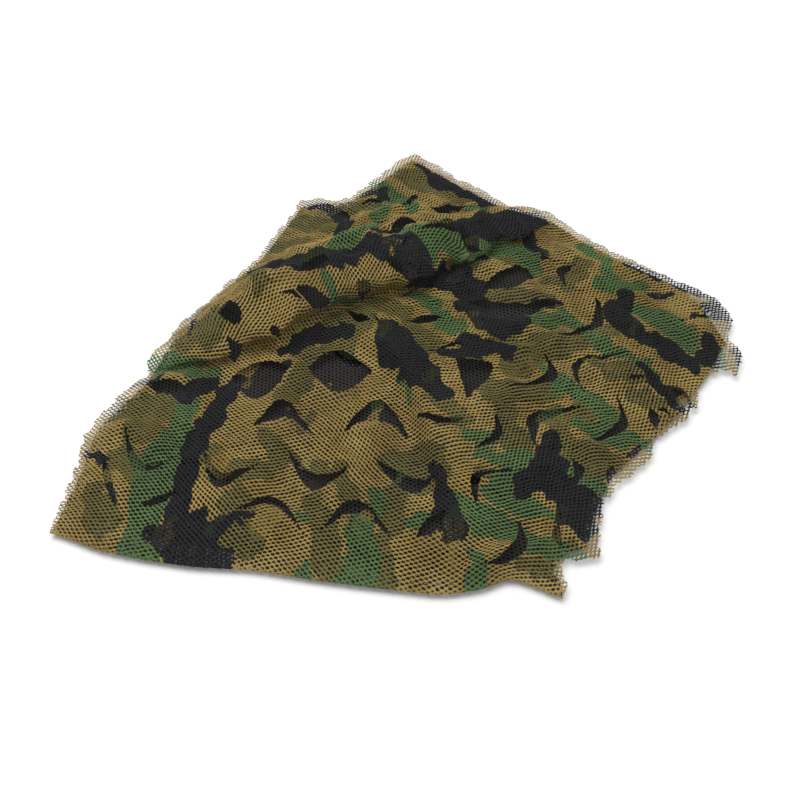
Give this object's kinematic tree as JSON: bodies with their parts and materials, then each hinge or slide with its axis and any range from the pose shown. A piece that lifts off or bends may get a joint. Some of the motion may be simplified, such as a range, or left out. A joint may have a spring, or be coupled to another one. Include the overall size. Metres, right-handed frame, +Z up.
{
  "type": "camouflage net",
  "caption": "Leaf-cut camouflage net of printed knitted mesh, loosely folded and heaped so that it lies flat with one raised roll of cloth.",
  "frame": {"origin": "middle of the heap's box, on the surface that it lies on", "axes": "+X along the longest side of the heap, from the smooth folded corner to the ragged corner; +Y from the front fold to the far corner; +Z up"},
  "size_m": [0.6037, 0.5633, 0.0594],
  "materials": {
    "printed_mesh": "matt knitted polyester mesh, printed in tan, olive, green and black"
  },
  "bodies": {
    "root": {"net": "printed_mesh"}
  },
  "joints": []
}
